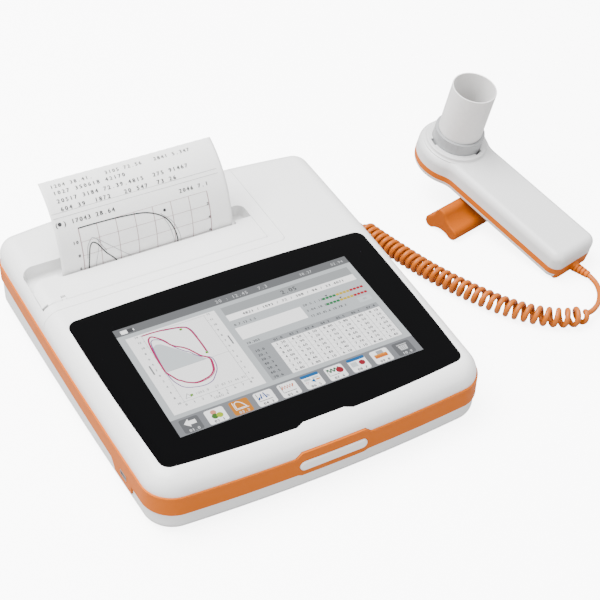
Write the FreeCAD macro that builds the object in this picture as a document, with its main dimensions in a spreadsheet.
import FreeCAD, Part
import math
import os
import Sketcher
from FreeCAD import Placement, Rotation, Vector

# Desktop spirometer with a hand-held turbine sensor on a coiled cord.
# Frame: origin under the middle of the case on the desk, X right, Y to the rear, Z up, millimetres.

# Driving dimensions: name, millimetres or degrees, what it is
DIMENSIONS = [
    ("case_width", "218", "across the orange band"),
    ("case_depth", "238.4", "front to rear over the band"),
    ("side_bow", "1.2", "how far the middle of each side stands out"),
    ("front_narrow", "7", "how much narrower the case is at its front"),
    ("front_bow", "4.9", "how far the middle of the front stands out"),
    ("rear_bow", "7.5", "how far the middle of the rear stands out"),
    ("front_corner", "19", "corner radius at the front"),
    ("rear_corner", "12.5", "corner radius at the rear"),
    ("wall", "2.6", "wall of the two case shells"),
    ("band_wall", "2.4", "wall of the orange band"),
    ("shell_step", "1", "how far the shells stand back from the band"),
    ("bottom_round", "6.5", "edge radius under the case"),
    ("top_round", "11", "edge radius on top of the case"),
    ("foot_height", "1.2", "part of a foot below the case"),
    ("foot_radius", "5", "rubber foot"),
    ("foot_recess", "0.8", "depth of the pocket that holds a foot"),
    ("band_low_front", "15", "lower edge of the band at the front"),
    ("band_low_rear", "23.5", "lower edge of the band at the rear"),
    ("band_top_front", "27.5", "upper edge of the band at the front"),
    ("band_top_rear", "34", "upper edge of the band at the rear"),
    ("top_tilt", "3", "slope of the top face, degrees"),
    ("screen_y", "-42.5", "middle of the display"),
    ("screen_z", "43", "height of the top face there"),
    ("glass_top_width", "194.4", "black glass along its rear edge"),
    ("glass_low_width", "186.4", "black glass along its front edge"),
    ("glass_rear", "61.3", "rear corners of the glass from the display middle"),
    ("glass_front", "60.5", "front corners of the glass from the display middle"),
    ("glass_rear_bow", "2.4", "bow of the rear edge of the glass"),
    ("glass_front_bow", "5.3", "bow of the front edge of the glass"),
    ("glass_side_bow", "1", "bow of its two side edges"),
    ("glass_corner", "6", "corner radius of the glass"),
    ("glass_thick", "1.5", "glass plate"),
    ("glass_notch", "26", "width of the rise in the front edge of the glass"),
    ("glass_notch_rise", "2.5", "height of that rise"),
    ("panel_width", "165", "display module"),
    ("panel_height", "104", "display module"),
    ("panel_thick", "5", "display module"),
    ("panel_gap", "0.5", "window round the display module"),
    ("seam", "0.25", "gap between neighbouring covers"),
    ("cover_front", "31.5", "front seam of the printer cover"),
    ("cover_right", "52", "right seam of the printer cover"),
    ("cover_corner", "3.5", "corner radius of that seam"),
    ("door_front", "38.1", "front seam of the paper door"),
    ("door_rear", "60.3", "rear edge of the paper door"),
    ("door_left", "-103.5", "left end of the paper door"),
    ("door_right", "42.6", "right end of the paper door"),
    ("door_corner", "9", "rounding of its rear left corner"),
    ("recess_rear", "73.6", "rear wall of the paper recess"),
    ("recess_depth", "9", "depth of the paper recess"),
    ("recess_corner", "5", "corner radius of the paper recess"),
    ("recess_wall", "2", "walls of the tray round the recess"),
    ("tear_notch", "3", "depth of the paper notch in the door"),
    ("hinge_radius", "1.7", "rolled front edge of the door"),
    ("pin_radius", "0.6", "door hinge pin"),
    ("fit", "0.05", "radial clearance of a running fit"),
    ("paper_width", "112", "thermal paper"),
    ("paper_middle", "-27.2", "middle of the paper across the case"),
    ("paper_thick", "0.3", "paper strip, drawn thicker than the real 0.06"),
    ("paper_curl", "49.5", "radius of the curl of the printed strip"),
    ("paper_sweep", "70", "angle of that curl, degrees"),
    ("paper_y", "58.7", "where the strip leaves the slot"),
    ("roll_radius", "16", "paper roll"),
    ("roll_in", "27.2", "paper roll axis from the rear of the case"),
    ("roll_z", "23.5", "paper roll axis"),
    ("spindle_radius", "6", "spindle inside the roll"),
    ("platen_radius", "5.5", "rubber platen"),
    ("platen_y", "52.9", "platen axis"),
    ("platen_z", "31.5", "platen axis"),
    ("shaft_radius", "2", "platen shaft"),
    ("gear_module", "0.6", "tooth size of the paper drive"),
    ("platen_teeth", "24", "gear on the platen shaft"),
    ("motor_teeth", "12", "pinion on the motor shaft"),
    ("gear_width", "3", "face width of both gears"),
    ("frame_plate", "2", "side plates of the printer frame"),
    ("frame_base", "1.5", "base of the printer frame"),
    ("frame_top", "36.5", "top of the side plates"),
    ("head_thick", "2", "thermal print head"),
    ("motor_radius", "7.5", "stepper motor"),
    ("motor_length", "11", "stepper motor"),
    ("board_z", "12", "underside of the main board"),
    ("board_thick", "1.6", "main board"),
    ("battery_width", "33.4", "battery pack"),
    ("battery_length", "65.4", "battery pack"),
    ("battery_height", "17", "battery pack"),
    ("battery_beside", "40.2", "middle of the battery from the edge of the paper"),
    ("battery_y", "60", "middle of the battery"),
    ("hatch_margin", "2.3", "how far the battery hatch passes the battery"),
    ("hatch_thick", "2", "battery hatch"),
    ("screw_radius", "1.5", "case screws"),
    ("screw_head", "2.8", "case screw head radius"),
    ("boss_radius", "4", "screw bosses"),
    ("boss_meet", "25", "height where upper and lower bosses meet"),
    ("button_length", "42", "power button"),
    ("button_height", "6.4", "power button"),
    ("button_z", "20.9", "middle of the power button"),
    ("button_proud", "0.7", "how far the button stands out"),
    ("button_travel", "1", "how far the button goes in"),
    ("bump_top", "30.7", "upper edge of the swelling round the button"),
    ("bump_low", "14", "lower edge of the swelling round the button"),
    ("bump_half", "19.6", "half its flat length"),
    ("bump_slope", "5", "length of each of its slopes"),
    ("port_y", "-76.5", "data port along the left side"),
    ("port_z", "16.3", "data port height"),
    ("port_width", "7.6", "data port shell"),
    ("port_height", "3.4", "data port shell"),
    ("flare_low", "10.4", "lower edge of the band below the port"),
    ("jack_x", "62", "power inlet along the rear"),
    ("jack_z", "14.5", "power inlet height"),
    ("jack_size", "9", "power inlet body"),
    ("socket_y", "92", "sensor socket along the right side"),
    ("socket_z", "12.2", "sensor socket height"),
    ("socket_radius", "4.2", "sensor socket"),
    ("plug_radius", "4.4", "plug of the sensor cord"),
    ("cord_radius", "1.75", "cord section"),
    ("coil_radius", "6.5", "outer radius of the coiled cord"),
    ("hand_x", "207.35", "turbine axis on the underside of the sensor"),
    ("hand_y", "81", "turbine axis on the underside of the sensor"),
    ("hand_z", "25.5", "turbine axis on the underside of the sensor"),
    ("hand_turn", "13", "heading of the sensor, degrees"),
    ("hand_tilt", "12.5", "slope of the sensor, degrees"),
    ("head_radius", "25", "round head of the sensor"),
    ("grip_half", "19.5", "half width of the grip"),
    ("grip_end", "116", "tail of the grip from the turbine axis"),
    ("grip_corner", "7", "corner radius of the tail"),
    ("neck_round", "16", "blend between head and grip"),
    ("hand_low", "4.6", "top of the lower shell"),
    ("hand_band_top", "8.8", "top of the orange band of the sensor"),
    ("hand_top", "20.4", "top of the upper shell"),
    ("hand_wall", "2", "walls of the sensor shells"),
    ("hand_top_round", "5.5", "upper edge radius of the sensor"),
    ("hand_low_round", "4", "lower edge radius of the sensor"),
    ("seat_top", "22.9", "rim of the turbine seat"),
    ("seat_wall", "2.6", "wall of the turbine seat"),
    ("turbine_radius", "16.9", "turbine barrel"),
    ("turbine_gap", "0.3", "gap between barrel and seat"),
    ("turbine_low", "4.2", "how far the turbine passes the underside"),
    ("collar_top", "31.4", "upper rim of the turbine collar"),
    ("collar_radius", "17.1", "facet corners of the collar"),
    ("collar_bore", "14.8", "bore of the collar"),
    ("collar_facets", "28", "flats round the collar"),
    ("flow_bore", "12.4", "bore that the breath passes through"),
    ("neck_radius", "13.95", "turbine neck inside the mouthpiece"),
    ("neck_top", "39", "upper end of the turbine neck"),
    ("lug_low", "16", "lower face of the bayonet lugs"),
    ("lug_height", "3", "bayonet lugs"),
    ("lug_reach", "1.4", "how far a lug stands out"),
    ("mouth_radius", "15", "mouthpiece tube, outside"),
    ("mouth_wall", "0.9", "mouthpiece tube"),
    ("mouth_top", "68.4", "rim of the mouthpiece"),
    ("mouth_low", "23.8", "lower end of the mouthpiece"),
    ("mouth_step", "32", "upper end of its slimmer foot in the collar"),
    ("mouth_foot", "14.6", "radius of that foot"),
    ("axle_radius", "0.5", "rotor axle"),
    ("vane_half", "10.6", "half span of the rotor vane"),
    ("vane_low", "6", "lower edge of the rotor vane"),
    ("vane_top", "14", "upper edge of the rotor vane"),
    ("stator_height", "5", "swirl stators"),
    ("stator_twist", "40", "twist of a swirl vane, degrees"),
    ("rest_length", "59", "rubber rest under the grip"),
    ("rest_left", "-37.2", "its visible end, from the turbine axis"),
    ("lobe_radius", "4.4", "lobes of the rest"),
    ("lobe_rear", "-20.4", "rear lobe, along the grip"),
    ("lobe_front", "-39.8", "front lobe, along the grip"),
    ("lobe_height", "14.2", "middle of the top lobe above the desk"),
    ("flank_radius", "13", "hollow flanks of the rest"),
]

doc = FreeCAD.newDocument("Spirometer")
sheet = doc.addObject("Spreadsheet::Sheet", "Sizes")
for row, (alias, number, note) in enumerate(DIMENSIONS, start=1):
    sheet.set(f"A{row}", note)
    sheet.set(f"B{row}", number)
    sheet.setAlias(f"B{row}", alias)
doc.recompute()


class Size:
    """A number together with the sheet expression that gives it."""

    def __init__(self, number, text):
        self.number = float(number)
        self.text = text

    def __add__(self, other):
        return Size(self.number + num(other), f"({self.text} + {txt(other)})")

    def __radd__(self, other):
        return Size(num(other) + self.number, f"({txt(other)} + {self.text})")

    def __sub__(self, other):
        return Size(self.number - num(other), f"({self.text} - {txt(other)})")

    def __rsub__(self, other):
        return Size(num(other) - self.number, f"({txt(other)} - {self.text})")

    def __mul__(self, other):
        return Size(self.number * num(other), f"({self.text} * {txt(other)})")

    def __rmul__(self, other):
        return Size(num(other) * self.number, f"({txt(other)} * {self.text})")

    def __truediv__(self, other):
        return Size(self.number / num(other), f"({self.text} / {txt(other)})")

    def __neg__(self):
        return Size(-self.number, f"(0 - {self.text})")


def num(size):
    """The plain number of a size or of a number."""
    return size.number if isinstance(size, Size) else float(size)


def txt(size):
    """The expression text of a size or of a number."""
    return size.text if isinstance(size, Size) else f"({float(size)!r})"


def root(size):
    return Size(math.sqrt(num(size)), f"sqrt({txt(size)})")


def tangent(angle):
    return Size(math.tan(math.radians(num(angle))), f"tan({txt(angle)} * 1 deg)")


def cosine(angle):
    return Size(math.cos(math.radians(num(angle))), f"cos({txt(angle)} * 1 deg)")


def sine(angle):
    return Size(math.sin(math.radians(num(angle))), f"sin({txt(angle)} * 1 deg)")


S = {alias: Size(number, f"Sizes.{alias}") for alias, number, note in DIMENSIONS}
S["roll_y"] = S["case_depth"] / 2 - S["roll_in"]
S["battery_x"] = S["paper_middle"] + S["paper_width"] / 2 + S["battery_beside"]
nodes = {}


class Profile:
    """A sketch on one of its body's origin planes, with every size bound to the sheet."""

    def __init__(self, piece, plane, at=0):
        self.sketch = piece.body.newObject("Sketcher::SketchObject", f"{piece.name}_sketch")
        support = next(f for f in piece.body.Origin.OriginFeatures if f.Role == f"{plane}_Plane")
        self.sketch.AttachmentSupport = [(support, "")]
        self.sketch.MapMode = "FlatFace"
        offset = -at if plane == "XZ" else at
        self.sketch.AttachmentOffset = Placement(Vector(0, 0, num(offset)), Rotation())
        self.sketch.setExpression("AttachmentOffset.Base.z", txt(offset))

    def bind(self, kind, *arguments):
        size = arguments[-1]
        index = self.sketch.addConstraint(Sketcher.Constraint(kind, *arguments[:-1], num(size)))
        self.sketch.setExpression(f"Constraints[{index}]", txt(size))

    def pin_point(self, geometry, end, x, y):
        self.bind("DistanceX", -1, 1, geometry, end, x)
        self.bind("DistanceY", -1, 1, geometry, end, y)

    def loop(self, points):
        """Closed outline. A point is (x, y), or (x, y, radius, side) where an arc leaves it."""
        first = None
        before = None
        for index, start in enumerate(points):
            finish = points[(index + 1) % len(points)]
            a = Vector(num(start[0]), num(start[1]), 0)
            b = Vector(num(finish[0]), num(finish[1]), 0)
            if len(start) == 2:
                geometry = self.sketch.addGeometry(Part.LineSegment(a, b))
            else:
                middle = arc_middle(a, b, num(start[2]), start[3])
                geometry = self.sketch.addGeometry(Part.Arc(a, middle, b))
            forward = self.sketch.getPoint(geometry, 1).distanceToPoint(a) < 1e-4
            begin, end = (1, 2) if forward else (2, 1)
            if before is None:
                first = (geometry, begin)
            else:
                self.sketch.addConstraint(Sketcher.Constraint("Coincident", *before, geometry, begin))
            before = (geometry, end)
            self.pin_point(geometry, begin, start[0], start[1])
            if len(start) > 2:
                self.bind("Radius", geometry, start[2])
        self.sketch.addConstraint(Sketcher.Constraint("Coincident", *before, *first))
        return self

    def box(self, x_low, y_low, x_high, y_high):
        return self.loop([(x_low, y_low), (x_high, y_low), (x_high, y_high), (x_low, y_high)])

    def circle(self, x, y, radius):
        shape = Part.Circle(Vector(num(x), num(y), 0), Vector(0, 0, 1), num(radius))
        geometry = self.sketch.addGeometry(shape)
        self.pin_point(geometry, 3, x, y)
        self.bind("Radius", geometry, radius)
        return self


def arc_middle(a, b, radius, side):
    """Middle of an arc from a to b that swells to the right (1) or left (-1) of its chord.

    With a side of 2 it is the larger of the two arcs on the right.
    """
    chord = b - a
    half = chord.Length / 2
    flat = math.sqrt(max(radius * radius - half * half, 0))
    rise = radius + flat if side == 2 else radius - flat
    across = Vector(chord.y, -chord.x, 0).normalize()
    return (a + b) / 2 + across * math.copysign(rise, side)


class Piece:
    """A body that is built up from pads, pockets, turned forms and edge rounds."""

    def __init__(self, name):
        self.name = name
        self.body = doc.addObject("PartDesign::Body", name)
        self.body.Label = name

    def profile(self, plane="XY", at=0):
        return Profile(self, plane, at)

    def feature(self, kind, profile, length, both, back):
        made = self.body.newObject(f"PartDesign::{kind}", f"{self.name}_{kind.lower()}")
        made.Profile = profile.sketch
        made.Length = num(length)
        made.setExpression("Length", txt(length))
        made.SideType = "Symmetric" if both else "One side"
        made.Reversed = back
        return made

    def pad(self, profile, length, both=False, back=False):
        self.feature("Pad", profile, length, both, back)
        return self

    def pocket(self, profile, length, both=False, back=False):
        doc.recompute()
        before = self.body.Shape.Volume
        self.feature("Pocket", profile, length, both, back)
        doc.recompute()
        if self.body.Shape.Volume >= before - 1e-6:
            raise ValueError(f"a pocket of {self.name} cuts nothing")
        return self

    def turn(self, profile, kind="Revolution"):
        made = self.body.newObject(f"PartDesign::{kind}", f"{self.name}_{kind.lower()}")
        made.Profile = profile.sketch
        made.ReferenceAxis = (profile.sketch, ["V_Axis"])
        made.Angle = 360
        return self

    def edges(self, choose):
        doc.recompute()
        found = [f"Edge{i}" for i, e in enumerate(self.body.Tip.Shape.Edges, start=1) if choose(e)]
        if not found:
            raise ValueError(f"{self.name} has no such edge")
        return (self.body.Tip, found)

    def round(self, radius, choose):
        edges = self.edges(choose)
        made = self.body.newObject("PartDesign::Fillet", f"{self.name}_round")
        made.Base = edges
        made.Radius = num(radius)
        made.setExpression("Radius", txt(radius))
        return self

    def bevel(self, size, choose):
        edges = self.edges(choose)
        made = self.body.newObject("PartDesign::Chamfer", f"{self.name}_bevel")
        made.Base = edges
        made.Size = num(size)
        made.setExpression("Size", txt(size))
        return self

    def around(self, count):
        """Repeats the last feature evenly round the body's own Z axis."""
        doc.recompute()
        seed = self.body.Tip
        axis = next(f for f in self.body.Origin.OriginFeatures if f.Role == "Z_Axis")
        made = self.body.newObject("PartDesign::PolarPattern", f"{self.name}_pattern")
        made.Originals = [seed]
        made.Axis = (axis, [""])
        made.Angle = 360
        made.Occurrences = int(num(count))
        made.setExpression("Occurrences", txt(count))
        self.body.Tip = made
        return self


def upright(edge):
    """True for a straight edge along Z."""
    return edge.Curve.TypeId == "Part::GeomLine" and abs(edge.tangentAt(edge.FirstParameter).z) > 0.999


def along_x(edge):
    """True for a straight edge along X."""
    return edge.Curve.TypeId == "Part::GeomLine" and abs(edge.tangentAt(edge.FirstParameter).x) > 0.999


def at_height(level):
    """Chooses edges that lie in the plane at this height."""
    return lambda e: abs(e.BoundBox.ZMin - num(level)) < 1e-3 and abs(e.BoundBox.ZMax - num(level)) < 1e-3


def shape_of(item):
    return item.body if isinstance(item, Piece) else item


def joined(name, items):
    made = doc.addObject("Part::MultiFuse", name)
    made.Shapes = [shape_of(item) for item in items]
    made.Label = name
    return made


def less(name, base, tools):
    made = doc.addObject("Part::Cut", name)
    made.Base = shape_of(base)
    made.Tool = shape_of(tools[0]) if len(tools) == 1 else joined(f"{name}_tools", tools)
    made.Label = name
    return made


def shared(name, first, second):
    made = doc.addObject("Part::Common", name)
    made.Base = shape_of(first)
    made.Tool = shape_of(second)
    made.Label = name
    return made


def cylinder(name, radius, length, place):
    made = doc.addObject("Part::Cylinder", name)
    made.Label = name
    for key, size in (("Radius", radius), ("Height", length)):
        setattr(made, key, num(size))
        made.setExpression(key, txt(size))
    set_place(made, place)
    return made


def block(name, x_size, y_size, z_size, place):
    made = doc.addObject("Part::Box", name)
    made.Label = name
    for key, size in (("Length", x_size), ("Width", y_size), ("Height", z_size)):
        setattr(made, key, num(size))
        made.setExpression(key, txt(size))
    set_place(made, place)
    return made


def set_place(item, place):
    """Places an object at three sizes, and turns it where a rotation follows them."""
    turn = place[3] if len(place) > 3 else Rotation()
    item.Placement = Placement(Vector(*(num(size) for size in place[:3])), turn)
    for axis, size in zip("xyz", place[:3]):
        item.setExpression(f"Placement.Base.{axis}", txt(size))


ALONG_X = Rotation(Vector(0, 1, 0), 90)
ALONG_Y = Rotation(Vector(1, 0, 0), -90)


def keep(name, item):
    """Makes an object the node of this name."""
    made = shape_of(item)
    made.Label = name
    nodes[name] = made
    return made


# Heights of the sloping faces

def slope_height(front, rear, y):
    """Height of an edge that climbs evenly from the front of the case to its rear."""
    return front + (rear - front) * (y + S["case_depth"] / 2) / S["case_depth"]


def top_height(y, drop=0):
    """Height of the top face, or of a plane below it, at this distance to the rear."""
    return S["screen_z"] - drop + (y - S["screen_y"]) * tangent(S["top_tilt"])


def on_screen(item):
    """Lays an object that is drawn flat onto the sloping top face, display middle at its origin."""
    turn = Rotation(Vector(1, 0, 0), num(S["top_tilt"]))
    shape_of(item).Placement = Placement(Vector(0, num(S["screen_y"]), num(S["screen_z"])), turn)
    for axis, size in (("Base.y", S["screen_y"]), ("Base.z", S["screen_z"])):
        shape_of(item).setExpression(f"Placement.{axis}", txt(size))
    shape_of(item).setExpression("Placement.Rotation.Angle", txt(S["top_tilt"]))
    return item


# Case

REACH = 2 * S["case_width"]
BELOW = S["flare_low"] - 1
ABOVE = S["band_top_rear"] + 4


def bow_radius(half_chord, bow):
    """Radius of an arc from half its chord and its rise."""
    return (half_chord * half_chord + bow * bow) / (2 * bow)


def case_outline(profile, inset):
    """The bowed outline of the case, moved inwards by an inset."""
    x = S["case_width"] / 2 - S["side_bow"] - inset
    near_x = x - S["front_narrow"] / 2
    front = -S["case_depth"] / 2 + S["front_bow"] + inset
    rear = S["case_depth"] / 2 - S["rear_bow"] - inset
    side = bow_radius((rear - front) / 2, S["side_bow"])
    return profile.loop([
        (-near_x, front, bow_radius(near_x, S["front_bow"]), 1),
        (near_x, front, side, 1),
        (x, rear, bow_radius(x, S["rear_bow"]), 1),
        (-x, rear, side, 1),
    ])


def case_block(name, inset, low, high):
    """A block with the case outline and its round corners."""
    piece = Piece(name)
    piece.pad(case_outline(piece.profile(at=low), inset), high - low)
    piece.round(S["front_corner"] - inset, lambda e: upright(e) and e.BoundBox.YMax < 0)
    piece.round(S["rear_corner"] - inset, lambda e: upright(e) and e.BoundBox.YMin > 0 and is_corner(e))
    return piece


def is_corner(edge):
    """True for one of the sharp upright corners at the rear of the case block."""
    return abs(edge.BoundBox.XMin) > num(S["case_width"]) / 2 - num(S["side_bow"]) - 6 and edge.BoundBox.YMin > 100


def side_wedge(name, low_points):
    """A slab across the whole case with this outline in the side view."""
    piece = Piece(name)
    piece.pad(piece.profile("YZ").loop(low_points), REACH, both=True)
    return piece


def top_trimmed(name, inset, drop, edge_round):
    """The upper half of the case as a solid, with its sloping top and rounded upper edge."""
    piece = case_block(name, inset, S["band_top_front"] - 8, S["screen_z"] + 25)
    far = S["case_depth"]
    sky = S["screen_z"] + 60
    outline = [(-far, top_height(-far, drop)), (far, top_height(far, drop)), (far, sky), (-far, sky)]
    piece.pocket(piece.profile("YZ").loop(outline), REACH, both=True)
    limit = num(S["band_top_rear"])
    piece.round(edge_round, lambda e: e.BoundBox.ZMin > limit)
    return piece


def band_side(front, rear):
    """End heights of a sloping edge, carried a little past the case at both ends."""
    far = S["case_depth"]
    return (-far, slope_height(front, rear, -far)), (far, slope_height(front, rear, far))


def bump_prism(name, extra):
    """The swelling round the power button, in the front view."""
    flat = S["bump_half"] + extra
    foot = flat + S["bump_slope"]
    top = S["bump_top"] + extra
    low = S["bump_low"] - extra
    shoulder = S["band_top_front"] - 1
    hip = S["band_low_front"] + 1
    piece = Piece(name)
    profile = piece.profile("XZ", at=-S["case_depth"] / 4)
    profile.loop([(-foot, hip), (-flat, low), (flat, low), (foot, hip),
                  (foot, shoulder), (flat, top), (-flat, top), (-foot, shoulder)])
    piece.pad(profile, S["case_depth"])
    return piece


def flare_prism(name, extra):
    """The band's drop round the data port, in the side view."""
    low = S["flare_low"] - extra
    top = S["band_low_rear"] + 2
    half = S["port_width"] / 2
    piece = Piece(name)
    profile = piece.profile("YZ", at=-S["case_width"] / 4)
    profile.loop([(S["port_y"] - half - 5.5 - extra, low), (S["port_y"] + half + 6.5, low),
                  (S["port_y"] + half + 17 + extra, top), (S["port_y"] - half - 6.5 - extra, top)])
    piece.pad(profile, S["case_width"], back=True)
    return piece


upper_form = top_trimmed("upper_form", S["shell_step"], 0, S["top_round"])
upper_hollow = top_trimmed("upper_hollow", S["shell_step"] + S["wall"], S["wall"], S["top_round"] - S["wall"])
far_y = S["case_depth"]
top_front, top_rear = band_side(S["band_top_front"], S["band_top_rear"])
low_front, low_rear = band_side(S["band_low_front"], S["band_low_rear"])
under_band = side_wedge("under_band", [(-far_y, 0), (far_y, 0), top_rear, top_front])
over_low = side_wedge("over_low", [low_front, low_rear, (far_y, S["screen_z"] + 60), (-far_y, S["screen_z"] + 60)])
bump_gap = bump_prism("bump_gap", S["seam"])
flare_gap = flare_prism("flare_gap", S["seam"])

SCREW_PLACES = [(-93, -97), (93, -97), (-99, -8), (99, -8), (93, 104)]
FOOT_PLACES = [(-80, -90), (80, -90), (-80, 98), (80, 100.8)]
BOARD_POSTS = [(-76, -88), (76, -88), (-76, 14), (76, 14)]


def side_band():
    """The orange ring between the shells, with its swelling, its drop and its two openings."""
    ring = less("band_ring", case_block("band_outer", 0, BELOW, ABOVE),
                [case_block("band_inner", S["band_wall"], BELOW - 1, ABOVE + 1)])
    middle = side_wedge("band_middle", [low_front, low_rear, top_rear, top_front])
    zone = joined("band_zone", [middle, bump_prism("band_bump", 0), flare_prism("band_flare", 0)])
    holes = [button_prism("button_hole", S["seam"], S["case_depth"] / 4)]
    gap = 2 * S["seam"]
    holes.append(block("port_hole", S["case_width"] / 4, S["port_width"] + gap, S["port_height"] + gap,
                       (-S["case_width"] * 0.6, S["port_y"] - (S["port_width"] + gap) / 2,
                        S["port_z"] - (S["port_height"] + gap) / 2)))
    keep("side_band", less("side_band_cut", shared("band_body", ring, zone), holes))


def button_prism(name, extra, length):
    """A lying pill along Y at the front of the case."""
    half = S["button_length"] / 2 - S["button_height"] / 2
    high = S["button_height"] / 2 + extra
    piece = Piece(name)
    profile = piece.profile("XZ", at=-S["case_depth"] / 2 + length / 2)
    profile.loop([(-half, S["button_z"] - high), (half, S["button_z"] - high, high, 1),
                  (half, S["button_z"] + high), (-half, S["button_z"] + high, high, 1)])
    piece.pad(profile, length)
    return piece


def lower_housing():
    """The lower shell: rounded underside, screw bosses, board posts, foot pockets and battery bay."""
    low = S["foot_height"]
    shell = case_block("lower_block", S["shell_step"], low, ABOVE)
    shell.round(S["bottom_round"], at_height(low))
    inside = case_block("lower_hollow", S["shell_step"] + S["wall"], low + S["wall"], ABOVE + 1)
    inside.round(S["bottom_round"] - S["wall"], at_height(low + S["wall"]))
    hollow = less("lower_shell", shell, [inside, over_low])
    floor = low + S["wall"]
    adds = [hollow]
    cuts = [bump_gap, flare_gap]
    for index, (x, y) in enumerate(SCREW_PLACES):
        post = cylinder(f"lower_boss_{index}", S["boss_radius"], S["boss_meet"] - floor + 1, (x, y, floor - 1))
        adds.append(post)
        cuts.append(cylinder(f"lower_bore_{index}", S["screw_radius"] + 0.2, S["boss_meet"] + 2, (x, y, -1)))
        cuts.append(cylinder(f"lower_sink_{index}", S["screw_head"] + 0.3, 9, (x, y, -1)))
    for index, (x, y) in enumerate(BOARD_POSTS):
        adds.append(cylinder(f"board_post_{index}", 3, S["board_z"] - floor + 1, (x, y, floor - 1)))
    for index, (x, y) in enumerate(FOOT_PLACES):
        cuts.append(cylinder(f"foot_pocket_{index}", S["foot_radius"] + 0.1, S["foot_recess"] + 1, (x, y, low - 1)))
    margin = S["hatch_margin"]
    width = S["battery_width"] + 2 * margin
    length = S["battery_length"] + 2 * margin
    cuts.append(block("hatch_seat", width, length, S["hatch_thick"] + 1,
                      (S["battery_x"] - width / 2, S["battery_y"] - length / 2, low - 1)))
    gap = 2 * S["seam"]
    cuts.append(block("battery_bay", S["battery_width"] + gap, S["battery_length"] + gap, S["wall"] + 4,
                      (S["battery_x"] - (S["battery_width"] + gap) / 2,
                       S["battery_y"] - (S["battery_length"] + gap) / 2, low)))
    jack = S["jack_size"] + gap
    cuts.append(block("jack_hole", jack, S["case_depth"] / 4, jack,
                      (S["jack_x"] - jack / 2, S["case_depth"] * 0.4, S["jack_z"] - jack / 2)))
    reach = S["case_width"] / 4
    cuts.append(cylinder("socket_hole", S["socket_radius"] + 0.1, reach,
                         (S["case_width"] * 0.42, S["socket_y"], S["socket_z"], ALONG_X)))
    keep("lower_housing", less("lower_housing_cut", joined("lower_sum", adds), cuts))


def seam_prism(name, left, right, front, rear, low):
    """An upright block that cuts one cover out of the top of the case."""
    piece = Piece(name)
    piece.pad(piece.profile(at=low).box(left, front, right, rear), S["screen_z"] + 60 - low)
    return piece


def cover_prism(name, extra):
    """Region of the printer cover: the left rear part of the case top."""
    piece = seam_prism(name, -REACH / 2, S["cover_right"] + extra, S["cover_front"] - extra, REACH / 2, 0)
    piece.round(S["cover_corner"], lambda e: upright(e) and e.BoundBox.XMin > 0 and e.BoundBox.YMax < 100)
    return piece


def door_prism(name, front):
    """Region of the paper door, rounded at its rear left corner."""
    piece = seam_prism(name, S["door_left"], S["door_right"], front, S["door_rear"], 20)
    piece.round(S["door_corner"],
                lambda e: upright(e) and e.BoundBox.XMax < 0 and e.BoundBox.YMin > num(S["door_rear"]) - 1)
    return piece


def opening_prism(name):
    """The opening in the printer cover that takes the paper door and the recess behind it."""
    piece = seam_prism(name, S["door_left"] - S["seam"], S["door_right"] + S["seam"],
                       S["door_front"] - S["seam"], S["recess_rear"], 15)
    piece.round(S["recess_corner"], lambda e: upright(e) and e.BoundBox.YMin > num(S["recess_rear"]) - 1)
    return piece


def recess_tray():
    """Walls and floor of the recess behind the paper door, open at the slot."""
    wall = S["recess_wall"]
    flat = Piece("recess_flat")
    rear = (S["recess_rear"] - S["screen_y"]) / cosine(S["top_tilt"])
    front = (S["paper_y"] + 3.4 - S["screen_y"]) / cosine(S["top_tilt"])
    left = S["door_left"] - wall - 2
    right = S["door_right"] + wall
    flat.pad(flat.profile(at=-S["recess_depth"] - wall).box(left, front, right, rear + wall),
             S["recess_depth"] + wall - 0.5)
    inner = Piece("recess_inner")
    inner.pad(inner.profile(at=-S["recess_depth"]).box(S["door_left"] - S["seam"], front - 1,
                                                         S["door_right"] + S["seam"], rear),
              S["recess_depth"] + 5)
    inner.round(S["recess_corner"], lambda e: upright(e) and e.BoundBox.YMin > num(rear) - 1)
    inner.round(1.5, lambda e: abs(e.BoundBox.ZMax + num(S["recess_depth"])) < 1e-3
                and e.BoundBox.YMax > num(front))
    strip_left = S["paper_middle"] - S["paper_width"] / 2 - 2
    shelf = Piece("recess_shelf")
    shelf_front = front - 13
    shelf.pad(shelf.profile(at=-S["recess_depth"] - wall).box(left, shelf_front, strip_left, front + 1), wall)
    return shared("recess_tray", joined("recess_sum", [less("recess_walls", on_screen(flat), [on_screen(inner)]),
                                                       on_screen(shelf)]), upper_form)


def hinge_line():
    """Distance to the rear and height of the paper door's hinge axis."""
    y = S["door_front"] + S["hinge_radius"]
    return y, top_height(y, S["hinge_radius"] / cosine(S["top_tilt"]))


HINGE_TAB = (-91.2, -88.8)


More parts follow.
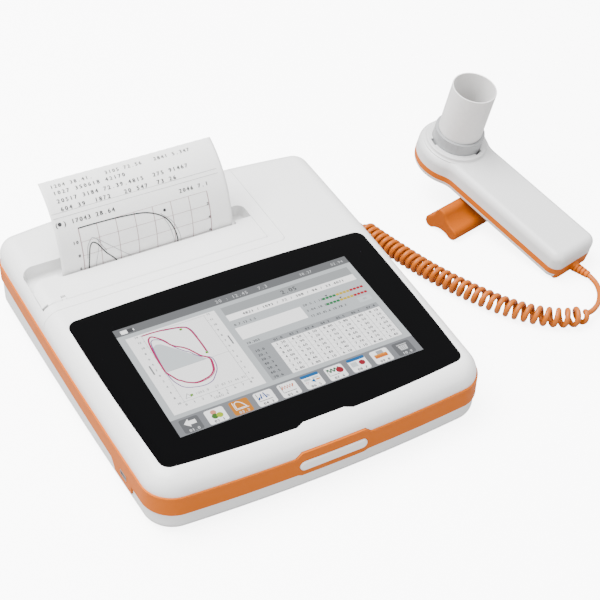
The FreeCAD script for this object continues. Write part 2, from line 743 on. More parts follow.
def upper_parts(skin):
    """Splits the top of the case into the upper housing, the printer cover and the paper door."""
    notch_gap = S["seam"]
    adds = [skin]
    cuts = [under_band, bump_gap, cover_prism("cover_zone_wide", S["seam"]), glass_block("glass_gap", S["seam"]),
            panel_block("panel_window", S["panel_gap"])]
    for index, (x, y) in enumerate(SCREW_PLACES):
        post = cylinder(f"upper_post_{index}", S["boss_radius"], 60, (x, y, S["boss_meet"]))
        adds.append(shared(f"upper_boss_{index}", post, upper_form))
        cuts.append(cylinder(f"upper_bore_{index}", S["screw_radius"], 12, (x, y, S["boss_meet"] - 1)))
    posts_above = joined("upper_sum", adds)
    under_open = less("under_band_open", under_band, [boss_zone()])
    cuts[0] = under_open
    keep("upper_housing", less("upper_housing_cut", posts_above, cuts))

    y, z = hinge_line()
    radius = S["hinge_radius"]
    tab_width = HINGE_TAB[1] - HINGE_TAB[0]
    tab_round = cylinder("hinge_tab", radius, tab_width, (HINGE_TAB[0], y, z, ALONG_X))
    tab_arm = block("hinge_arm", tab_width, radius + 2, 2 * radius - 0.5, (HINGE_TAB[0], y - radius - 2, z - radius))
    side_ear = cylinder("hinge_ear", radius + 1, 3.5, (S["door_right"] + S["seam"], y, z - 0.8, ALONG_X))
    cover_skin = less("cover_skin", shared("cover_region", skin, cover_prism("cover_zone", 0)),
                      [opening_prism("door_opening"), under_band])
    cover = joined("cover_sum", [cover_skin, recess_tray(), shared("hinge_tab_trim", tab_round, upper_form),
                                 shared("hinge_arm_trim", tab_arm, upper_form), side_ear])
    pin_hole = cylinder("cover_pin_hole", S["pin_radius"], 140, (HINGE_TAB[0], y, z, ALONG_X))
    keep("printer_cover", less("printer_cover_cut", cover, [pin_hole, door_sweep("door_corner_gap", 2 * S["seam"])]))

    leaf = shared("door_leaf", skin, door_prism("door_zone", y))
    roll = shared("door_roll_trim", cylinder("door_roll", radius, S["door_right"] + 100, (-100, y, z, ALONG_X)),
                  upper_form)
    notch = block("tear_notch_cut", S["paper_width"] + 5, S["tear_notch"] + 5, 40,
                  (S["paper_middle"] - (S["paper_width"] + 5) / 2, S["door_rear"] - S["tear_notch"], 25))
    tab_gap = block("tab_gap", tab_width + 2 * notch_gap, 2 * radius + 1.5, 2 * radius + 8,
                    (HINGE_TAB[0] - notch_gap, y - radius - 1, z - radius - 4))
    bore = cylinder("door_bore", S["pin_radius"] + S["fit"], 150, (-98, y, z, ALONG_X))
    keep("paper_door", less("paper_door_cut", joined("door_sum", [leaf, roll]), [notch, tab_gap, bore]))
    keep("door_hinge_pin", cylinder("hinge_pin", S["pin_radius"], S["door_right"] + 3 - HINGE_TAB[0],
                                    (HINGE_TAB[0], y, z, ALONG_X)))


def door_sweep(name, extra):
    """Room round the rolled front edge of the door."""
    y, z = hinge_line()
    return cylinder(name, S["hinge_radius"] + extra, S["door_right"] + 86, (-86, y, z, ALONG_X))


def boss_zone():
    """Keeps the screw bosses of the upper housing, which reach down inside the band."""
    posts = [cylinder(f"boss_zone_{index}", S["boss_radius"] + 0.01, 80, (x, y, S["boss_meet"]))
             for index, (x, y) in enumerate(SCREW_PLACES)]
    inner = case_block("boss_limit", S["band_wall"] + 0.3, S["boss_meet"], ABOVE + 1)
    return shared("boss_zone", joined("boss_zone_sum", posts), inner)


def glass_block(name, extra):
    """The black glass plate, or with an extra the pocket that it lies in, drawn flat."""
    low = S["glass_low_width"] / 2 + extra
    top = S["glass_top_width"] / 2 + extra
    front = -S["glass_front"] - extra
    rear = S["glass_rear"] + extra
    side = bow_radius((rear - front) / 2, S["glass_side_bow"])
    piece = Piece(name)
    height = S["glass_thick"] if num(extra) == 0 else S["glass_thick"] + 5
    profile = piece.profile(at=-S["glass_thick"])
    profile.loop([(-low, front, bow_radius(low, S["glass_front_bow"]), 1), (low, front, side, 1),
                  (top, rear, bow_radius(top, S["glass_rear_bow"]), 1), (-top, rear, side, 1)])
    piece.pad(profile, height)
    piece.round(S["glass_corner"] + extra, lambda e: upright(e) and abs(e.BoundBox.XMin) > 50)
    flat = S["glass_notch"] / 2 - extra
    foot = flat + 5
    edge = front - S["glass_front_bow"]
    rise = edge + S["glass_notch_rise"]
    notch = piece.profile(at=-S["glass_thick"] - 1)
    notch.loop([(-foot, edge - 3), (foot, edge - 3), (foot, edge), (flat, rise), (-flat, rise), (-foot, edge)])
    piece.pocket(notch, height + 2, back=True)
    return on_screen(piece)


def panel_block(name, extra):
    """The display module under the glass, or with an extra its window in the housing."""
    piece = Piece(name)
    half_x = S["panel_width"] / 2 + extra
    half_y = S["panel_height"] / 2 + extra
    height = S["panel_thick"] + 5 * extra
    profile = piece.profile(at=-S["glass_thick"] - height)
    piece.pad(profile.box(-half_x, -half_y, half_x, half_y), height)
    return on_screen(piece)


def display():
    keep("touch_glass", glass_block("touch_glass", 0))
    keep("display_panel", panel_block("display_panel", 0))


def feet_and_screws():
    feet = []
    for index, (x, y) in enumerate(FOOT_PLACES):
        foot = Piece(f"foot_{index}")
        foot.pad(foot.profile().circle(x, y, S["foot_radius"]), S["foot_height"] + S["foot_recess"])
        foot.bevel(0.5, at_height(0))
        feet.append(foot)
    keep("rubber_feet", joined("rubber_feet", feet))
    screws = []
    head_low = S["foot_height"] + 4.8
    for index, (x, y) in enumerate(SCREW_PLACES):
        screws.append(cylinder(f"screw_head_{index}", S["screw_head"], 2, (x, y, head_low)))
        screws.append(cylinder(f"screw_shank_{index}", S["screw_radius"], S["boss_meet"] + 9 - head_low,
                               (x, y, head_low + 1)))
    keep("case_screws", joined("case_screws", screws))


def power_button():
    """The white pill at the front, with a flange behind the band and a post to its switch."""
    front = -S["case_depth"] / 2 - S["button_proud"]
    half = S["button_length"] / 2 - S["button_height"] / 2
    high = S["button_height"] / 2
    flange_at = -S["case_depth"] / 2 + S["band_wall"] + S["front_bow"] / 2
    piece = Piece("power_button")
    profile = piece.profile("XZ", at=flange_at)
    profile.loop([(-half, S["button_z"] - high), (half, S["button_z"] - high, high, 1),
                  (half, S["button_z"] + high), (-half, S["button_z"] + high, high, 1)])
    piece.pad(profile, flange_at - front)
    piece.round(0.9, lambda e: abs(e.BoundBox.YMax - num(front)) < 1e-3)
    flange = piece.profile("XZ", at=flange_at + 1.5)
    flange.box(-half - high - 1.2, S["button_z"] - high - 1.2, half + high + 1.2, S["button_z"] + high + 1.2)
    piece.pad(flange, 1.5)
    post = piece.profile("XZ", at=flange_at + 4)
    piece.pad(post.circle(0, S["button_z"], 2), 2.6)
    keep("power_button", piece)

    switch_at = flange_at + 4 + S["button_travel"] + 0.4
    keep("switch_plunger", cylinder("switch_plunger", 1.2, S["button_travel"] + 2,
                                    (0, flange_at + 4, S["button_z"], ALONG_Y)))
    body = block("switch_block", 7, 4, 7, (-3.5, switch_at, S["button_z"] - 3.5))
    well = cylinder("switch_well", 1.2 + S["fit"], 3.2 + S["button_travel"], (0, switch_at - 1, S["button_z"], ALONG_Y))
    keep("button_switch", less("button_switch", body, [well]))
    board_back = switch_at + 4
    foot = S["board_z"] + S["board_thick"]
    keep("button_board", block("button_board", 30, 1.6, S["button_z"] + 5 - foot, (-15, board_back, foot)))


def electronics():
    """Main board on its posts, battery with its hatch, data port, power inlet and sensor socket."""
    piece = Piece("main_board")
    low = S["board_z"]
    piece.pad(piece.profile(at=low).box(-85, -108, 85, 24), S["board_thick"])
    chips = piece.profile(at=low + S["board_thick"])
    for x, y, width, depth in ((-40, -40, 24, 24), (10, -50, 18, 14), (35, -10, 14, 14), (-60, 0, 12, 22)):
        chips.box(x, y, x + width, y + depth)
    piece.pad(chips, 2.2)
    keep("main_board", piece)

    floor = S["foot_height"] + S["hatch_thick"]
    battery = Piece("battery_pack")
    half_x = S["battery_width"] / 2
    half_y = S["battery_length"] / 2
    battery.pad(battery.profile(at=floor).box(S["battery_x"] - half_x, S["battery_y"] - half_y,
                                              S["battery_x"] + half_x, S["battery_y"] + half_y),
                S["battery_height"])
    battery.round(3, along_y)
    keep("battery_pack", battery)
    hatch = Piece("battery_hatch")
    grow = S["hatch_margin"] - S["seam"]
    hatch.pad(hatch.profile(at=S["foot_height"]).box(
        S["battery_x"] - half_x - grow, S["battery_y"] - half_y - grow,
        S["battery_x"] + half_x + grow, S["battery_y"] + half_y + grow), S["hatch_thick"])
    grip = hatch.profile(at=S["foot_height"])
    for step in range(4):
        y = S["battery_y"] - half_y + 6 + 4 * step
        grip.box(S["battery_x"] - 9, y, S["battery_x"] + 9, y + 1.6)
    hatch.pocket(grip, 0.6, back=True)
    keep("battery_hatch", hatch)

    outer = -side_at(S["port_y"])
    shell = block("port_shell", 9, S["port_width"], S["port_height"],
                  (outer, S["port_y"] - S["port_width"] / 2, S["port_z"] - S["port_height"] / 2))
    mouth = block("port_mouth", 7, S["port_width"] - 0.8, S["port_height"] - 0.8,
                  (outer - 1, S["port_y"] - S["port_width"] / 2 + 0.4, S["port_z"] - S["port_height"] / 2 + 0.4))
    tongue = block("port_tongue", 5, S["port_width"] - 2.4, 0.8,
                   (outer + 2, S["port_y"] - S["port_width"] / 2 + 1.2, S["port_z"] - 0.4))
    keep("data_port", joined("data_port", [less("port_cut", shell, [mouth]), tongue]))

    rear = S["case_depth"] / 2 - S["rear_bow"] / 2 - 0.2
    half = S["jack_size"] / 2
    body = block("jack_body", S["jack_size"], 13, S["jack_size"], (S["jack_x"] - half, rear - 13, S["jack_z"] - half))
    bore = cylinder("jack_bore", 3.1, 10, (S["jack_x"], rear - 9, S["jack_z"], ALONG_Y))
    contact = cylinder("jack_contact", 1, 9, (S["jack_x"], rear - 10, S["jack_z"], ALONG_Y))
    keep("power_inlet", joined("power_inlet", [less("jack_cut", body, [bore]), contact]))

    wall_x = socket_face()
    barrel = cylinder("socket_barrel", S["socket_radius"], 12, (wall_x - 12, S["socket_y"], S["socket_z"], ALONG_X))
    hole = cylinder("socket_bore", 2.5, 9, (wall_x - 8, S["socket_y"], S["socket_z"], ALONG_X))
    keep("sensor_socket", less("sensor_socket", barrel, [hole]))


def along_y(edge):
    """True for a straight edge along Y."""
    return edge.Curve.TypeId == "Part::GeomLine" and abs(edge.tangentAt(edge.FirstParameter).y) > 0.999


def socket_face():
    """Where the right side of the lower shell is at the sensor socket, a touch proud."""
    return side_at(S["socket_y"]) - S["shell_step"] + 0.4


def side_at(y):
    """How far the side of the band is from the middle of the case at this distance to the rear."""
    along = y / (S["case_depth"] / 2)
    return S["case_width"] / 2 - S["side_bow"] * along * along - S["front_narrow"] * (1 - along) / 4


# Printer

def gear(name, teeth, bore, turn):
    """A spur gear along X: flanks as straight tapers from root to tip, rounded at neither."""
    module = S["gear_module"]
    piece = Piece(name)
    root_radius = module * teeth / 2 - 1.25 * module
    piece.pad(piece.profile().circle(0, 0, root_radius), S["gear_width"])
    tip = module * teeth / 2 + 0.9 * module
    thick = module * 1.45
    thin = module * 0.62
    tooth = piece.profile().loop([(-thick / 2 - 0.35 * module, root_radius - 0.3), (thick / 2 + 0.35 * module, root_radius - 0.3),
                                  (thin / 2, tip), (-thin / 2, tip)])
    piece.pad(tooth, S["gear_width"])
    piece.around(teeth)
    piece.pocket(piece.profile().circle(0, 0, bore), S["gear_width"], back=True)
    piece.body.Placement = Placement(Vector(), Rotation(Vector(0, 1, 0), 90) * Rotation(Vector(0, 0, 1), turn))
    return piece


def printer():
    """Frame, head, platen with its gear, motor with its pinion, spindle and paper roll."""
    floor = S["foot_height"] + S["wall"]
    middle = S["paper_middle"]
    inner = S["paper_width"] / 2 + 2
    plate = S["frame_plate"]
    left = middle - inner - plate
    right = middle + inner
    front = S["platen_y"] - 12
    rear = S["roll_y"] + 12
    gear_x = right + plate + 0.3
    bracket_x = gear_x + S["gear_width"] + 1
    module = S["gear_module"]
    spread = module * (S["platen_teeth"] + S["motor_teeth"]) / 2 + 0.06
    motor_y = S["platen_y"] - spread * 0.6
    motor_z = S["platen_z"] - spread * 0.8
    high = S["frame_top"]
    parts = [block("frame_floor", bracket_x + 1.5 - left, rear - front, S["frame_base"], (left, front, floor)),
             block("frame_left", plate, rear - front, high - floor, (left, front, floor)),
             block("frame_right", plate, rear - front, high - floor, (right, front, floor)),
             block("frame_bracket", 1.5, 26, high - 2 - floor, (bracket_x, front, floor)),
             block("frame_bar", right - left, 2.4, 9, (left, strip_back() + S["head_thick"], high - 11))]
    tools = [cylinder("platen_bearings", S["shaft_radius"] + S["fit"], 160,
                      (left - 5, S["platen_y"], S["platen_z"], ALONG_X)),
             cylinder("spindle_seats", S["spindle_radius"] / 2 + S["fit"], right + plate - left + 2,
                      (left - 1, S["roll_y"], S["roll_z"], ALONG_X)),
             cylinder("motor_window", 3, 8, (bracket_x - 2, motor_y, motor_z, ALONG_X))]
    keep("printer_frame", less("printer_frame", joined("frame_sum", parts), tools))

    head = block("head_plate", S["paper_width"] + 2, S["head_thick"], 11,
                 (middle - S["paper_width"] / 2 - 1, strip_back(), high - 12))
    keep("print_head", head)

    half = S["paper_width"] / 2 + 1
    sleeve = cylinder("platen_sleeve", S["platen_radius"], 2 * half, (middle - half, S["platen_y"], S["platen_z"], ALONG_X))
    hole = cylinder("platen_hole", S["shaft_radius"], 2 * half + 2,
                    (middle - half - 1, S["platen_y"], S["platen_z"], ALONG_X))
    keep("platen_roller", less("platen_roller", sleeve, [hole]))
    shaft_end = gear_x + S["gear_width"] + 0.4
    keep("platen_shaft", cylinder("platen_shaft", S["shaft_radius"], shaft_end - left,
                                  (left, S["platen_y"], S["platen_z"], ALONG_X)))

    lean = math.degrees(math.atan2(0.6, 0.8))
    big = gear("platen_gear", S["platen_teeth"], S["shaft_radius"], 90 - lean + 180 / num(S["platen_teeth"]))
    set_base(big.body, gear_x, S["platen_y"], S["platen_z"])
    keep("platen_gear", big)
    small = gear("motor_pinion", S["motor_teeth"], 0.8, 90 - lean)
    set_base(small.body, gear_x, motor_y, motor_z)
    keep("motor_pinion", small)
    keep("motor_shaft", cylinder("motor_shaft", 0.8, bracket_x + 3 - gear_x, (gear_x, motor_y, motor_z, ALONG_X)))
    can = cylinder("motor_can", S["motor_radius"], S["motor_length"], (bracket_x + 1.5, motor_y, motor_z, ALONG_X))
    well = cylinder("motor_well", 0.8 + S["fit"], 6, (bracket_x + 1, motor_y, motor_z, ALONG_X))
    keep("feed_motor", less("feed_motor", can, [well]))

    core = cylinder("spindle_core", S["spindle_radius"], 2 * inner - 1, (left + plate + 0.5, S["roll_y"], S["roll_z"], ALONG_X))
    ends = cylinder("spindle_ends", S["spindle_radius"] / 2, right + plate - left, (left, S["roll_y"], S["roll_z"], ALONG_X))
    keep("roll_spindle", joined("roll_spindle", [core, ends]))
    roll = Piece("paper_roll")
    roll_profile = roll.profile()
    roll_profile.circle(0, 0, S["roll_radius"]).circle(0, 0, S["spindle_radius"] + S["fit"])
    roll.pad(roll_profile, S["paper_width"])
    roll.body.Placement = Placement(Vector(), ALONG_X)
    set_base(roll.body, middle - S["paper_width"] / 2, S["roll_y"], S["roll_z"])
    keep("paper_roll", roll)


def set_base(item, x, y, z):
    """Moves an object that already has its turn."""
    for axis, size in zip("xyz", (x, y, z)):
        item.setExpression(f"Placement.Base.{axis}", txt(size))


def strip_back():
    """Rear face of the paper strip where it passes the print head."""
    return S["platen_y"] + S["platen_radius"] + 0.15 + S["paper_thick"]


def paper_strip():
    """The printed strip: under the roll, up past the head, out of the slot and over in a curl."""
    thick = S["paper_thick"]
    y = strip_back() - thick
    bend = 8
    low = S["roll_z"] - S["roll_radius"] - 0.3 - thick
    tear = top_height(S["paper_y"]) - 2
    curl = S["paper_curl"]
    end_y = y + curl - curl * cosine(S["paper_sweep"])
    end_z = tear + curl * sine(S["paper_sweep"])
    inner = curl - thick
    in_y = y + curl - inner * cosine(S["paper_sweep"])
    in_z = tear + inner * sine(S["paper_sweep"])
    piece = Piece("paper_strip")
    profile = piece.profile("YZ", at=S["paper_middle"] - S["paper_width"] / 2)
    profile.loop([(S["roll_y"], low), (S["roll_y"], low + thick), (y + bend, low + thick, bend - thick, 1),
                  (y + thick, low + bend), (y + thick, tear, inner, -1), (in_y, in_z), (end_y, end_z, curl, 1),
                  (y, tear), (y, low + bend, Size(bend, "8"), -1), (y + bend, low)])
    piece.pad(profile, S["paper_width"])
    keep("paper_strip", piece)


# Hand-held sensor, drawn level on its turbine axis and laid down at the end

def hand_block(name, inset, low, high):
    """Round head and long grip of the sensor between two levels."""
    piece = Piece(name)
    piece.pad(piece.profile(at=low).circle(0, 0, S["head_radius"] - inset), high - low)
    half = S["grip_half"] - inset
    piece.pad(piece.profile(at=low).box(-half, -S["grip_end"] + inset, half, 0), high - low)
    tail = -num(S["grip_end"]) / 2
    piece.round(S["neck_round"] + inset, lambda e: upright(e) and tail < e.BoundBox.YMin < -1)
    piece.round(S["grip_corner"] - inset, lambda e: upright(e) and e.BoundBox.YMax < tail)
    return piece


def hand_shells():
    """Lower shell, orange band with its tail plate, and upper shell with the turbine seat."""
    wall = S["hand_wall"]
    bore = S["turbine_radius"] + S["turbine_gap"]
    seat = bore + S["seat_wall"]
    low_top = S["hand_low"]
    band_top = S["hand_band_top"]
    tail = S["grip_end"]
    bore_tool = cylinder("turbine_bore", bore, 60, (0, 0, -10))
    plate_zone = block("tail_zone", 2 * S["grip_half"] - 6, 4, low_top + 1,
                       (-S["grip_half"] + 3, -tail - 0.5, 0.6))
    plate_gap = block("tail_gap", 2 * S["grip_half"] - 6 + 2 * S["seam"], 4 + S["seam"], low_top + 2,
                      (-S["grip_half"] + 3 - S["seam"], -tail - 0.5, -1))

    outer = hand_block("hand_low_block", 0, 0, low_top)
    outer.round(S["hand_low_round"], at_height(0))
    hollow = hand_block("hand_low_hollow", wall, wall, low_top + 1)
    hollow.round(S["hand_low_round"] - wall, at_height(wall))
    ring = cylinder("low_seat", seat, low_top - 1, (0, 0, 1))
    posts = [cylinder(f"hand_post_{i}", 2.6, band_top - 3, (0, y, 1)) for i, y in enumerate(HAND_SCREWS)]
    bores = [cylinder(f"hand_bore_{i}", 1.2, 30, (0, y, -2)) for i, y in enumerate(HAND_SCREWS)]
    sinks = [cylinder(f"hand_sink_{i}", 2.1, 3.5, (0, y, -2)) for i, y in enumerate(HAND_SCREWS)]
    low_sum = joined("hand_low_sum", [less("hand_low_cut", outer, [hollow]), ring] + posts)
    keep("hand_lower_shell", less("hand_lower_shell", low_sum, [bore_tool, plate_gap] + bores + sinks))

    band_outer = hand_block("hand_band_block", -0.15, low_top, band_top)
    band_inner = hand_block("hand_band_hollow", wall, low_top - 1, band_top + 1)
    tail_plate = shared("tail_plate", plate_zone, hand_block("tail_limit", 0, 0, low_top + 0.5))
    gland_hole = cylinder("gland_hole", 2.6, 12, (0, -tail + 8, gland_level(), ALONG_Y_BACK))
    keep("hand_band", less("hand_band", joined("hand_band_sum", [less("hand_ring", band_outer, [band_inner]), tail_plate]),
                           [gland_hole]))

    top = S["hand_top"]
    cap = hand_block("hand_cap_block", 0, band_top, top)
    cap.round(S["hand_top_round"], at_height(top))
    cap_hollow = hand_block("hand_cap_hollow", wall, band_top - 1, top - wall)
    cap_hollow.round(S["hand_top_round"] - wall, at_height(top - wall))
    collar = Piece("seat_collar")
    rim = S["seat_top"]
    collar_profile = collar.profile("XZ")
    collar_profile.loop([(bore - 1, band_top), (seat, band_top), (seat, top - 2), (seat + 2.6, top - 2),
                         (seat + 2.6, top - 0.1, Size(1.6, "1.6"), -1), (seat + 1.3, rim - 0.9),
                         (seat + 1.3, rim - 0.9 + 0.2, Size(0.8, "0.8"), 1), (seat + 0.6, rim), (bore - 1, rim)])
    collar.turn(collar_profile)
    groove_top = S["lug_low"] + S["lug_height"] + S["turbine_gap"]
    groove_low = S["lug_low"] - S["turbine_gap"]
    groove = cylinder("lug_groove", S["turbine_radius"] + S["lug_reach"] + S["turbine_gap"], groove_top - groove_low,
                      (0, 0, groove_low))
    entries = [lug_wedge(f"lug_entry_{i}", i, LUG_TWIST, S["lug_reach"] + S["turbine_gap"], groove_low, rim + 1, 1.2)
               for i in range(LUG_COUNT)]
    pegs = [cylinder(f"cap_peg_{i}", 2.6, top - 1 - peg_low(), (0, y, peg_low())) for i, y in enumerate(HAND_SCREWS)]
    peg_bores = [cylinder(f"peg_bore_{i}", S["hand_screw"], 5, (0, y, peg_low() - 1)) for i, y in enumerate(HAND_SCREWS)]
    cap_sum = joined("hand_cap_sum", [less("hand_cap_cut", cap, [cap_hollow]), collar] + pegs)
    keep("hand_upper_shell", less("hand_upper_shell", cap_sum, [bore_tool, groove] + entries + peg_bores))


def peg_low():
    """Where the upper shell's pegs meet the posts of the lower shell, over the sensor board."""
    return S["hand_band_top"] - 2 + S["sensor_board"]


def gland_level():
    """Height of the cord gland on the tail."""
    return S["hand_low"] + 0.4


def lug_wedge(name, index, twist, reach, low, high, extra):
    """One bayonet lug, or with an extra the way that it needs, as a block standing out of the barrel."""
    half = LUG_WIDTH / 2 + extra
    made = block(name, S["turbine_radius"] - 12 + reach, 2 * half, high - low, (0, 0, 0))
    turn = Rotation(Vector(0, 0, 1), 360 / LUG_COUNT * index + twist)
    corner = turn.multVec(Vector(12, -half, num(low)))
    made.Placement = Placement(corner, turn)
    made.setExpression("Placement.Base.x", None)
    made.setExpression("Placement.Base.y", None)
    made.setExpression("Placement.Base.z", txt(low))
    return made


ALONG_Y_BACK = Rotation(Vector(1, 0, 0), 90)
HAND_SCREWS = (-34, -100)
LUG_COUNT = 3
LUG_WIDTH = 4
LUG_TWIST = 40
S["hand_screw"] = Size(1.0, "1.0")
S["sensor_board"] = Size(1.2, "1.2")


def turbine():
    """Turbine housing with bayonet lugs and faceted collar, two swirl stators and the rotor."""
    barrel = Piece("turbine_barrel")
    bore = S["flow_bore"]
    neck = S["neck_radius"]
    radius = S["turbine_radius"]
    seat = S["mouth_low"] - 0.3
    low = -S["turbine_low"]
    profile = barrel.profile("XZ")
    profile.loop([(bore, low), (radius - 1.6, low), (radius - 0.6, low + 1), (radius - 0.6, low + 3.2), (radius, low + 3.8),
                  (radius, seat), (neck, seat), (neck, S["neck_top"] - 0.6), (neck - 0.6, S["neck_top"]),
                  (bore, S["neck_top"])])
    barrel.turn(profile)
    lugs = [lug_wedge(f"lug_{i}", i, 0, S["lug_reach"], S["lug_low"], S["lug_low"] + S["lug_height"], 0)
            for i in range(LUG_COUNT)]
    collar = doc.addObject("Part::Prism", "collar_prism")
    collar.Polygon = int(num(S["collar_facets"]))
    collar.setExpression("Polygon", txt(S["collar_facets"]))
    collar_low = S["seat_top"] + 0.4
    set_place(collar, (0, 0, collar_low))
    for key, size in (("Circumradius", S["collar_radius"]), ("Height", S["collar_top"] - collar_low)):
        setattr(collar, key, num(size))
        collar.setExpression(key, txt(size))
    channel = cylinder("collar_channel", S["collar_bore"], 20, (0, 0, seat))
    ring = less("collar_ring", collar, [channel])
    clear = cylinder("flow_clear", bore, 60, (0, 0, -12))
    keep("turbine_housing", less("turbine_housing", joined("turbine_sum", [barrel, ring] + lugs), [clear]))

    keep("stator_lower", stator("stator_lower", S["vane_low"] - 3 - S["stator_height"], 1))
    keep("stator_upper", stator("stator_upper", S["vane_top"] + 3, -1))
    rotor = Piece("turbine_rotor")
    rotor.pad(rotor.profile(at=S["vane_low"] - 4.5).circle(0, 0, S["axle_radius"]), S["vane_top"] - S["vane_low"] + 9)
    span = S["vane_half"]
    rotor.pad(rotor.profile("XZ", at=0.25).box(-span, S["vane_low"], span, S["vane_top"]), 0.5)
    keep("turbine_rotor", rotor)

    tube = Piece("mouthpiece")
    tube_profile = tube.profile("XZ")
    inner = S["mouth_radius"] - S["mouth_wall"]
    step = S["mouth_step"]
    tube_profile.loop([(inner, S["mouth_low"]), (S["mouth_foot"], S["mouth_low"]), (S["mouth_foot"], step),
                       (S["mouth_radius"], step + 0.15), (S["mouth_radius"], S["mouth_top"]), (inner, S["mouth_top"])])
    tube.turn(tube_profile)
    tube.round(S["mouth_wall"] * 0.35, at_height(S["mouth_top"]))
    keep("mouthpiece", tube)


STATOR_VANES = 6


def stator(name, low, hand):
    """A ring and hub joined by twisted vanes that set the breath swirling."""
    piece = Piece(name)
    rim = S["flow_bore"] - 0.05
    piece.pad(piece.profile().circle(0, 0, rim).circle(0, 0, rim - 0.9), S["stator_height"])
    hub = piece.profile().circle(0, 0, 2)
    piece.pad(hub, S["stator_height"])
    lower = piece.profile().box(1.2, -0.35, rim - 0.4, 0.35)
    upper = piece.profile(at=S["stator_height"]).box(1.2, -0.35, rim - 0.4, 0.35)
    upper.sketch.AttachmentOffset = Placement(Vector(0, 0, num(S["stator_height"])),
                                              Rotation(Vector(0, 0, 1), hand * num(S["stator_twist"])))
    upper.sketch.setExpression("AttachmentOffset.Rotation.Angle", txt(S["stator_twist"]))
    vane = piece.body.newObject("PartDesign::AdditiveLoft", f"{name}_vane")
    vane.Profile = lower.sketch
    vane.Sections = [upper.sketch]
    vane.Ruled = True
    piece.around(STATOR_VANES)
    piece.pocket(piece.profile().circle(0, 0, S["axle_radius"] + S["fit"]), S["stator_height"], back=True)
    set_base(piece.body, 0, 0, low)
    return piece


def hand_inner():
    """Sensor board, screws, and the ribbed strain relief on the tail."""
    board = Piece("sensor_board")
    low = S["hand_band_top"] - 2
    board_profile = board.profile(at=low)
    board_profile.box(-14, -106, 14, -23)
    for y in HAND_SCREWS:
        board_profile.circle(0, y, 1.6)
    board.pad(board_profile, S["sensor_board"])
    chips = board.profile(at=low + S["sensor_board"])
    for x, y, width, depth in ((-9, -60, 10, 10), (2, -82, 8, 8), (-6, -94, 6, 4)):
        chips.box(x, y, x + width, y + depth)
    board.pad(chips, 1.4)
    keep("sensor_board", board)
    screws = []
    for index, y in enumerate(HAND_SCREWS):
        screws.append(cylinder(f"hand_screw_head_{index}", 1.9, 1, (0, y, 0.5)))
        screws.append(cylinder(f"hand_screw_shank_{index}", S["hand_screw"], peg_low() + 2, (0, y, 1)))
    keep("hand_screws", joined("hand_screws", screws))

    neck = Piece("relief_neck")
    neck.turn(neck.profile("XZ").loop([(0, 3.4), (2.5, 3.4), (2.5, -0.2), (3.6, -0.2), (3.5, -2.4), (0, -2.4)]))
    neck.body.Placement = Placement(Vector(0, 0, 0), Rotation(Vector(1, 0, 0), -90))
    set_base(neck.body, 0, -S["grip_end"], gland_level())
    ribs = Piece("relief_ribs")
    thin = S["cord_radius"] + 0.5
    outline = [(0, 0)]
    for step in range(4):
        near = -2.6 * step
        size = 3.3 - 0.25 * step
        outline += [(size - 0.7, near), (size - 0.7, near - 0.9), (size, near - 0.9), (size - 0.1, near - 2.6)]
    ribs.turn(ribs.profile("XZ").loop(outline + [(thin, -RELIEF_LENGTH), (0, -RELIEF_LENGTH)]))
    ribs.body.Placement = Placement(Vector(0, 0, 0), Rotation(Vector(0, 0, -1), RELIEF_WAY))
    set_base(ribs.body, 0, -S["grip_end"] - 1.8, gland_level())
    keep("strain_relief", joined("strain_relief", [neck, ribs]))


RELIEF_LENGTH = 10.8
RELIEF_WAY = Vector(0.0687, -0.9886, 0.1356)
HAND_NODES = ("hand_lower_shell", "hand_band", "hand_upper_shell", "turbine_housing", "stator_lower",
              "stator_upper", "turbine_rotor", "mouthpiece", "sensor_board", "hand_screws", "strain_relief")


def hand_rest():
    """The three-lobed rubber rest that the grip leans on, ribbed along its front lobe.

    The two lower lobes go round more than half a circle, the top one less.
    """
    lobe = S["lobe_radius"]
    flank = S["flank_radius"]
    centres = [(S["lobe_rear"], lobe), ((S["lobe_rear"] + S["lobe_front"]) / 2 + 1, S["lobe_height"]),
               (S["lobe_front"], lobe)]
    points = []
    for index, here in enumerate(centres):
        there = centres[(index + 1) % 3]
        hollow = outer_centre(here, there, lobe + flank)
        leave = on_way(here, hollow, lobe, flank)
        arrive = on_way(there, hollow, lobe, flank)
        points.append((leave[0], leave[1], flank, -1))
        points.append((arrive[0], arrive[1], lobe, 1 if there == centres[1] else 2))
    piece = Piece("hand_rest")
    piece.pad(piece.profile("YZ", at=S["rest_left"]).loop(points), S["rest_length"])
    end = num(S["rest_left"])
    piece.round(1.1, lambda e: abs(e.BoundBox.XMin - end) < 1e-3 and abs(e.BoundBox.XMax - end) < 1e-3)
    ribs = piece.profile("XZ", at=S["lobe_front"])
    count = int((num(S["rest_length"]) - 14) / RIB_STEP)
    for step in range(count):
        x = S["rest_left"] + 10 + RIB_STEP * step
        ribs.box(x, -1, x + 1.1, 0.55)
    piece.pocket(ribs, 6, both=True)
    piece.body.Placement = Placement(Vector(), Rotation(Vector(0, 0, 1), num(S["hand_turn"])))
    set_base(piece.body, S["hand_x"], S["hand_y"], 0)
    piece.body.setExpression("Placement.Rotation.Angle", txt(S["hand_turn"]))
    keep("hand_rest", piece)


RIB_STEP = 2.4


def outer_centre(here, there, reach):
    """Centre of the hollow flank between two lobes, on the outer side of their chord."""
    mid = ((here[0] + there[0]) / 2, (here[1] + there[1]) / 2)
    dx = there[0] - here[0]
    dy = there[1] - here[1]
    length = root(dx * dx + dy * dy)
    away = root(reach * reach - length * length / 4)
    return mid[0] + dy / length * away, mid[1] - dx / length * away


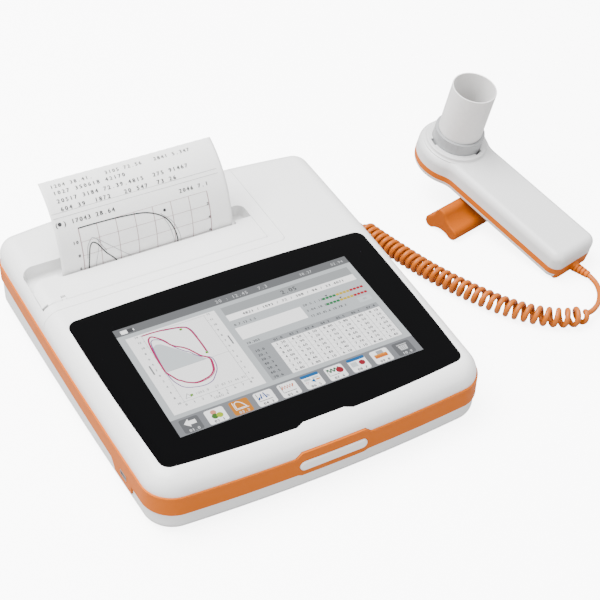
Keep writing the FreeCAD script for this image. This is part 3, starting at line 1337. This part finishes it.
def on_way(lobe_centre, flank_centre, lobe, flank):
    """Point where a lobe and a flank touch."""
    share = lobe / (lobe + flank)
    return (lobe_centre[0] + (flank_centre[0] - lobe_centre[0]) * share,
            lobe_centre[1] + (flank_centre[1] - lobe_centre[1]) * share)


# Cord

# Hand-picked routes, millimetres
LEAD_ROUTE = [(236.6, -42.4, 4.0), (236.9, -48.5, 3.6), (235.2, -54.6, 3.4), (231.3, -61.4, 3.2),
              (225.2, -67.8, 4.2), (218.6, -72.4, 5.6), (211.4, -75.4, 6.5)]
COIL_ROUTE = [(211.4, -75.4, 6.5), (199.0, -74.6, 6.5), (186.4, -67.6, 6.5), (174.9, -56.4, 6.5),
              (164.0, -40.6, 6.5), (153.2, -17.8, 6.5), (144.4, 4.7, 6.5), (137.9, 28.6, 6.5),
              (132.2, 52.0, 6.5), (129.6, 66.0, 6.5)]
UNIT_ROUTE = [(129.6, 66.0, 6.5), (127.9, 75.0, 6.6), (126.6, 83.6, 8.6), (122.4, 90.2, 11.4),
              (116.8, 92.0, 12.2)]


def tube(name, route, radius):
    """A round tube along straight runs that are joined by tangent arcs."""
    points = [Vector(*p) for p in route]
    edges = []
    last = points[0]
    length = 0
    radii = []
    for before, corner, after in zip(points, points[1:], points[2:]):
        run_in = corner - before
        run_out = after - corner
        turn = run_in.getAngle(run_out)
        reach = 0.45 * min(run_in.Length, run_out.Length)
        radii.append(reach / math.tan(turn / 2))
        start = corner - run_in.normalize() * reach
        end = corner + run_out.normalize() * reach
        bisector = (end - corner).normalize() + (start - corner).normalize()
        centre_way = radii[-1] / math.cos(turn / 2)
        centre = corner + bisector.normalize() * centre_way
        middle = centre + (corner - centre).normalize() * radii[-1]
        edges.append(Part.LineSegment(last, start).toShape())
        edges.append(Part.Arc(start, middle, end).toShape())
        last = end
    edges.append(Part.LineSegment(last, points[-1]).toShape())
    spine = Part.Wire(edges)
    length = spine.Length
    circle = Part.Circle(points[0], points[1] - points[0], num(radius)).toShape()
    solid = spine.makePipeShell([Part.Wire([circle])], True, False)
    expected = math.pi * num(radius) ** 2 * length
    print(f"{name}: length {length:.1f}, radii", [round(r, 1) for r in radii],
          f"volume ratio {solid.Volume / expected:.4f}")
    made = doc.addObject("Part::Feature", name)
    made.Shape = solid
    keep(name, made)
    return made


def cord():
    tube("cord_lead_hand", LEAD_ROUTE, S["cord_radius"])
    tube("cord_coil", COIL_ROUTE, S["coil_radius"])
    tube("cord_lead_unit", UNIT_ROUTE, S["cord_radius"])
    start = socket_face()
    plug = Piece("cord_plug")
    radius = S["plug_radius"]
    away = UNIT_ROUTE[-1][0] - start
    plug_profile = plug.profile("XZ")
    plug_profile.loop([(0, -7), (2.4, -7), (2.4, 0), (radius - 0.5, 0), (radius, 0.5), (radius, away - 4.2),
                       (S["cord_radius"] + 1, away - 3), (S["cord_radius"] + 0.5, away), (0, away)])
    plug.turn(plug_profile)
    plug.body.Placement = Placement(Vector(), ALONG_X)
    set_base(plug.body, start, S["socket_y"], S["socket_z"])
    keep("cord_plug", plug)


def lay_down_sensor():
    """Turns the sensor onto its rest: heading about Z, then slope about its own X axis."""
    turn = Rotation(Vector(0, 0, 1), num(S["hand_turn"])) * Rotation(Vector(1, 0, 0), num(S["hand_tilt"]))
    pose = Placement(Vector(num(S["hand_x"]), num(S["hand_y"]), num(S["hand_z"])), turn)
    doc.recompute()
    for name in HAND_NODES:
        laid = doc.addObject("Part::Feature", f"{name}_laid")
        laid.Shape = nodes[name].Shape
        laid.Placement = pose * nodes[name].Placement
        nodes[name].Label = f"{name}_level"
        keep(name, laid)


def write_parts():
    doc.recompute()
    failed = [item.Label for item in doc.Objects if "Invalid" in item.State or "Error" in item.State]
    if failed:
        raise ValueError(f"failed features: {failed}")
    for name, item in nodes.items():
        if item.Shape.isNull() or not item.Shape.isValid() or not item.Shape.Solids:
            raise ValueError(f"{name} is not a valid solid")
    os.makedirs("parts", exist_ok=True)
    for name, item in nodes.items():
        item.Shape.exportStep(f"parts/{name}.step")


lower_housing()
side_band()
upper_parts(less("upper_skin", upper_form, [upper_hollow]))
display()
feet_and_screws()
power_button()
electronics()
printer()
paper_strip()
hand_shells()
turbine()
hand_inner()
hand_rest()
cord()
lay_down_sensor()
write_parts()
